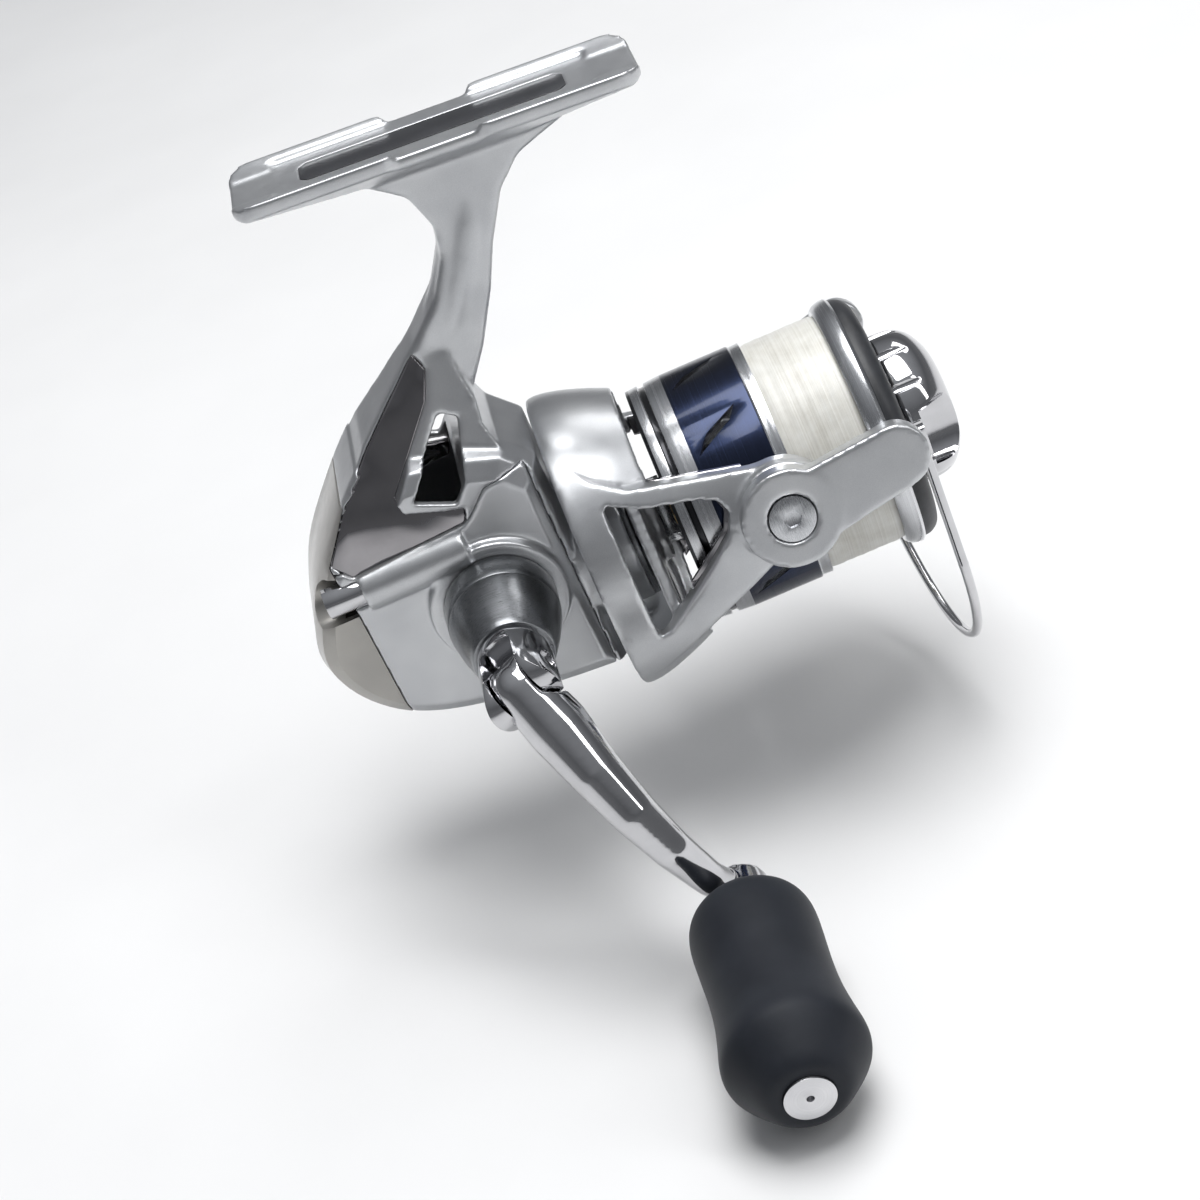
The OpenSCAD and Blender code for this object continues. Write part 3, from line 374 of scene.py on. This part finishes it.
def dress(name, material):
    """Gives a CAD node its material, and rounds its sharp edges with modifiers."""
    piece = nodes[name]
    piece.data.materials.clear()
    piece.data.materials.append(material)
    piece.data.shade_smooth()
    weld = piece.modifiers.new("weld", "WELD")
    weld.merge_threshold = 0.002 * MM
    width = BEVELS.get(name, PLAIN_BEVEL)
    if width:
        bevel = piece.modifiers.new("bevel", "BEVEL")
        bevel.width = width * MM
        bevel.segments = 3 if width > 0.2 else 2
        bevel.limit_method = "ANGLE"
        bevel.angle_limit = math.radians(32)
    split = piece.modifiers.new("split", "EDGE_SPLIT")
    split.split_angle = math.radians(40)


slots = {row["node"]: row["material_slot"] for row in frame["record"]["subparts"]}
for node_name in nodes:
    dress(node_name, MATERIALS[slots[node_name]])


# ---------------------------------------------------------------- castings with softened edges
def relax(piece, rounds, group=""):
    """Smooths the mesh, or the part of it that a vertex group holds."""
    smooth = piece.modifiers.new("relax", "SMOOTH")
    smooth.factor = 0.5
    smooth.iterations = rounds
    smooth.vertex_group = group


def apply_modifiers(piece):
    """Works the piece's modifiers into its mesh."""
    bpy.context.view_layer.update()
    evaluated = piece.evaluated_get(bpy.context.evaluated_depsgraph_get())
    result = bpy.data.meshes.new_from_object(evaluated)
    piece.modifiers.clear()
    piece.data = result


def relax_stretch(piece, bottom, top, rounds):
    """Relaxes the stretch between two heights, fading over fade_in above its bottom and
    fade_out below its top."""
    fade_in, fade_out = 5, 2.5
    group = piece.vertex_groups.new(name="soft")
    for vertex in piece.data.vertices:
        z = vertex.co.z / MM
        weight = min(1.0, (z - bottom) / fade_in, (top - z) / fade_out)
        if weight > 0:
            group.add([vertex.index], weight, "REPLACE")
    relax(piece, rounds, group.name)
    apply_modifiers(piece)
    piece.vertex_groups.clear()


def cast(name, body, voxel, rounds, extra=(), soft=None):
    """Replaces a CAD node by a copy with cast or forged edges: remeshed finely, then relaxed.
    extra holds further closed shapes, as (vertices, faces) in metres, that flow into it.
    soft is (lowest z, highest z, rounds) for a stretch that is relaxed much more."""
    mesh = nodes[name].data.copy()
    piece = bpy.data.objects.new(name + "_cast", mesh)
    scene.collection.objects.link(piece)
    grown = bmesh.new()
    grown.from_mesh(mesh)
    for vertices, faces in extra:
        points = [grown.verts.new(v) for v in vertices]
        for face in faces:
            grown.faces.new([points[i] for i in face])
    grown.to_mesh(mesh)
    grown.free()
    remesh = piece.modifiers.new("remesh", "REMESH")
    remesh.mode = "VOXEL"
    remesh.voxel_size = voxel * MM
    relax(piece, rounds)
    apply_modifiers(piece)
    if soft:
        relax_stretch(piece, *soft)
    piece.data.materials.clear()
    piece.data.materials.append(MATERIALS[slots[name]])
    piece.data.shade_smooth()
    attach(piece, body)
    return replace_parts(piece, name)


def ball(centre, radii, matrix, turns=24):
    """An ellipsoid as (vertices, faces), centred in a frame of the reel."""
    vertices, faces = [], []
    half = turns // 2
    for i in range(1, half):
        polar = math.pi * i / half
        for k in range(turns):
            around = 2 * math.pi * k / turns
            unit = (math.sin(polar) * math.cos(around), math.sin(polar) * math.sin(around),
                    math.cos(polar))
            point = [c + r * u for c, r, u in zip(centre, radii, unit)]
            vertices.append(matrix @ Vector(point))
    for i in range(half - 2):
        for k in range(turns):
            a, b = i * turns + k, i * turns + (k + 1) % turns
            faces.append((a, a + turns, b + turns, b))
    vertices.append(matrix @ Vector([centre[0], centre[1], centre[2] + radii[2]]))
    vertices.append(matrix @ Vector([centre[0], centre[1], centre[2] - radii[2]]))
    top, bottom, base = len(vertices) - 2, len(vertices) - 1, (half - 2) * turns
    for k in range(turns):
        faces.append((top, k, (k + 1) % turns))
        faces.append((bottom, base + (k + 1) % turns, base + k))
    return vertices, faces


# The stem has a rounded spine: closely spaced balls along its middle line, which is given in the
# XZ plane of TO_PART. They are widest halfway up.
stem_line = [(8.8, 45), (13, 50), (16.5, 55), (19.1, 60), (20.6, 64), (21.8, 68)]
spine = [Vector(a).lerp(Vector(b), k / 4) for a, b in zip(stem_line, stem_line[1:])
         for k in range(4)]
half_widths = [4.1 + math.sin(math.pi * i / (len(spine) - 1)) for i in range(len(spine))]
spine_balls = [ball((point.x, 0, point.y), (4.3, half_width, 4.3), TO_PART)
               for point, half_width in zip(spine, half_widths)]
# The bail arm swells towards its tip and leans in over the spool's lip.
tip_balls = [ball((57 + 3.2 * i, -27.6 + 0.35 * i, 0.8 + 0.55 * i),
                  (5.2, 2.2 + 0.42 * i, 5.4 - 0.1 * i), ROTOR_TO_PART) for i in range(4)]
cast("body_housing", "frame", 0.36, 7, spine_balls, (-46, -3.6, 30))
cast("side_cover", "frame", 0.32, 6)
cast("rotor", "rotor_body", 0.4, 5)
cast("handle_arm", "handle_arm_body", 0.3, 10)
cast("roller_lever", "bail", 0.35, 8)
cast("bail_arm", "bail", 0.35, 8, tip_balls)


# ---------------------------------------------------------------- new pieces
def lathe(name, profile, material, body, steps, matrix, wobble=None):
    """A closed ring turned about X from points (x, radius). wobble(x, angle, k) is added to
    the radius of the profile's point k."""
    n = len(profile)
    vertices, faces = [], []
    for i in range(steps):
        angle = 2 * math.pi * i / steps
        for k, (x, r) in enumerate(profile):
            q = r + (wobble(x, angle, k) if wobble else 0)
            vertices.append(matrix @ Vector((x, q * math.cos(angle), q * math.sin(angle))))
    for i in range(steps):
        j = (i + 1) % steps
        for k in range(n):
            m = (k + 1) % n
            faces.append((i * n + k, i * n + m, j * n + m, j * n + k))
    mesh = bpy.data.meshes.new(name)
    mesh.from_pydata(vertices, [], faces)
    mesh.update()
    mesh.materials.append(material)
    mesh.shade_smooth()
    fix = bmesh.new()
    fix.from_mesh(mesh)
    bmesh.ops.recalc_face_normals(fix, faces=fix.faces)
    fix.to_mesh(mesh)
    fix.free()
    piece = bpy.data.objects.new(name, mesh)
    scene.collection.objects.link(piece)
    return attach(piece, body)


def wound_line():
    """The wound line: closely laid strands that cross slightly, with a low crown."""
    start, end, top, inner = 51.44, 64.26, 19.88, 14.1
    strands = 130
    groove, edge_drop, edge_width = 0.09, 0.35, 1.2
    profile = [(start, inner)]
    for i in range(strands + 1):
        x = start + (end - start) * i / strands
        side = min(1.0, (min(x - start, end - x) + 0.15) / edge_width)
        profile.append((x, top - edge_drop * (1 - side) ** 2 - (groove if i % 2 else 0.0)))
    profile.append((end, inner))

    def wobble(x, angle, k):
        if k == 0 or k == len(profile) - 1:
            return 0
        return -0.05 + 0.05 * math.sin(2.3 * x + 2 * angle) * math.cos(1.1 * x - 3 * angle)

    return lathe("wound_line", profile, MATERIALS["wound_line"], "spool_body", 180, TO_PART,
                 wobble)


def rounded(points, times=2):
    """Corners cut as often as times says, for a soft profile; the two ends stay."""
    for _ in range(times):
        cut = [points[0]]
        for a, b in zip(points, points[1:]):
            cut.append(tuple(0.75 * p + 0.25 * q for p, q in zip(a, b)))
            cut.append(tuple(0.25 * p + 0.75 * q for p, q in zip(a, b)))
        points = cut + [points[-1]]
    return points


def knob():
    """The grip: a squared inner shoulder, a slight waist, its widest near the end, then a soft
    chamfer and the recess that holds the cap. The profile runs out along the knob's axis."""
    bore, recess, recess_floor, inner_end = 3.56, 3.97, 97.9, 60.1
    outside = rounded([(inner_end, 4.2), (inner_end, 7.4), (61.2, 9.3), (64, 10.15), (70, 10.0),
                       (76, 9.75), (82, 9.9), (87, 10.5), (91, 11.15), (92.8, 11.15),
                       (94.2, 10.5), (97.2, 8.5), (99.4, 6.9), (100.3, 5.6), (100.3, recess)])
    inside = [(recess_floor, recess), (recess_floor, bore), (inner_end, bore)]
    axis = KNOB_TO_PART @ Matrix.Rotation(math.radians(-90), 4, "Z")
    return lathe("grip", outside + inside, MATERIALS["soft_rubber"], "knob", 96, axis)


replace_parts(wound_line(), "line")
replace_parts(knob(), "knob_grip")

# ---------------------------------------------------------------- stage, light and camera
# From here on, places and sizes are in metres.
low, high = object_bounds()


def stage_floor():
    """A pale table just under the reel's lowest point."""
    half, gap = 3.0, 0.0004
    mesh = bpy.data.meshes.new("floor")
    corners = [(-half, -half, 0), (half, -half, 0), (half, half, 0), (-half, half, 0)]
    mesh.from_pydata(corners, [], [(0, 1, 2, 3)])
    floor = bpy.data.objects.new("floor", mesh)
    floor.location = (0, 0, low.z - gap)
    scene.collection.objects.link(floor)
    t = Tree("pale_table")
    cloud = t.noise(t.coords(), 0.012, 3.0)
    pale = t.ramp(cloud, [(0.3, (0.80, 0.80, 0.80)), (0.7, (0.84, 0.84, 0.84))])
    t.link(pale, t.shader.inputs["Base Color"])
    t.set(Roughness=0.75)
    mesh.materials.append(t.material)


def softbox(name, place, aim, size, power):
    light = bpy.data.lights.new(name, "AREA")
    light.shape = "RECTANGLE"
    light.size, light.size_y = size
    light.energy = power
    lamp = bpy.data.objects.new(name, light)
    lamp.location = place
    lamp.rotation_mode = "QUATERNION"
    lamp.rotation_quaternion = (Vector(aim) - Vector(place)).to_track_quat("-Z", "Y")
    scene.collection.objects.link(lamp)


stage_floor()
target = (low + high) / 2
softbox("key", (0.12, 0.02, 0.78), target, (0.70, 0.50), 8.0)
softbox("fill", (0.62, -0.45, 0.50), target, (0.16, 0.6), 1.5)
softbox("rim", (0.50, 0.70, 0.70), target, (0.5, 0.25), 1.4)

# The room is darkest a little above the horizon, and palest overhead.
world = bpy.data.worlds.new("room")
world.use_nodes = True
scene.world = world
background = world.node_tree.nodes["Background"]
sky = world.node_tree.nodes.new("ShaderNodeTexCoord")
height = world.node_tree.nodes.new("ShaderNodeSeparateXYZ")
shade = world.node_tree.nodes.new("ShaderNodeValToRGB")
shade.color_ramp.elements[0].color = (0.24, 0.245, 0.255, 1)
shade.color_ramp.elements[1].color = (0.50, 0.515, 0.54, 1)
shade.color_ramp.elements.new(0.35).color = (0.17, 0.175, 0.185, 1)
world.node_tree.links.new(sky.outputs["Generated"], height.inputs[0])
world.node_tree.links.new(height.outputs["Z"], shade.inputs["Fac"])
world.node_tree.links.new(shade.outputs["Color"], background.inputs["Color"])
background.inputs["Strength"].default_value = 0.8

# The camera was solved from the photograph's perspective.
camera = bpy.data.objects.new("camera", bpy.data.cameras.new("camera"))
scene.collection.objects.link(camera)
right = Vector((0.9424, -0.1659, -0.2905))
up = Vector((0.3339, 0.5197, 0.7864))
forward = Vector((-0.0205, 0.8381, -0.5451))
place = Vector((0.0078, -0.3536, 0.1405))
camera.matrix_world = Matrix((
    (right.x, up.x, -forward.x, place.x),
    (right.y, up.y, -forward.y, place.y),
    (right.z, up.z, -forward.z, place.z),
    (0, 0, 0, 1)))
camera.data.lens = 75.07
camera.data.sensor_width = 36.0
camera.data.clip_start, camera.data.clip_end = 0.01, 20
scene.camera = camera
scene.view_settings.view_transform = "Standard"
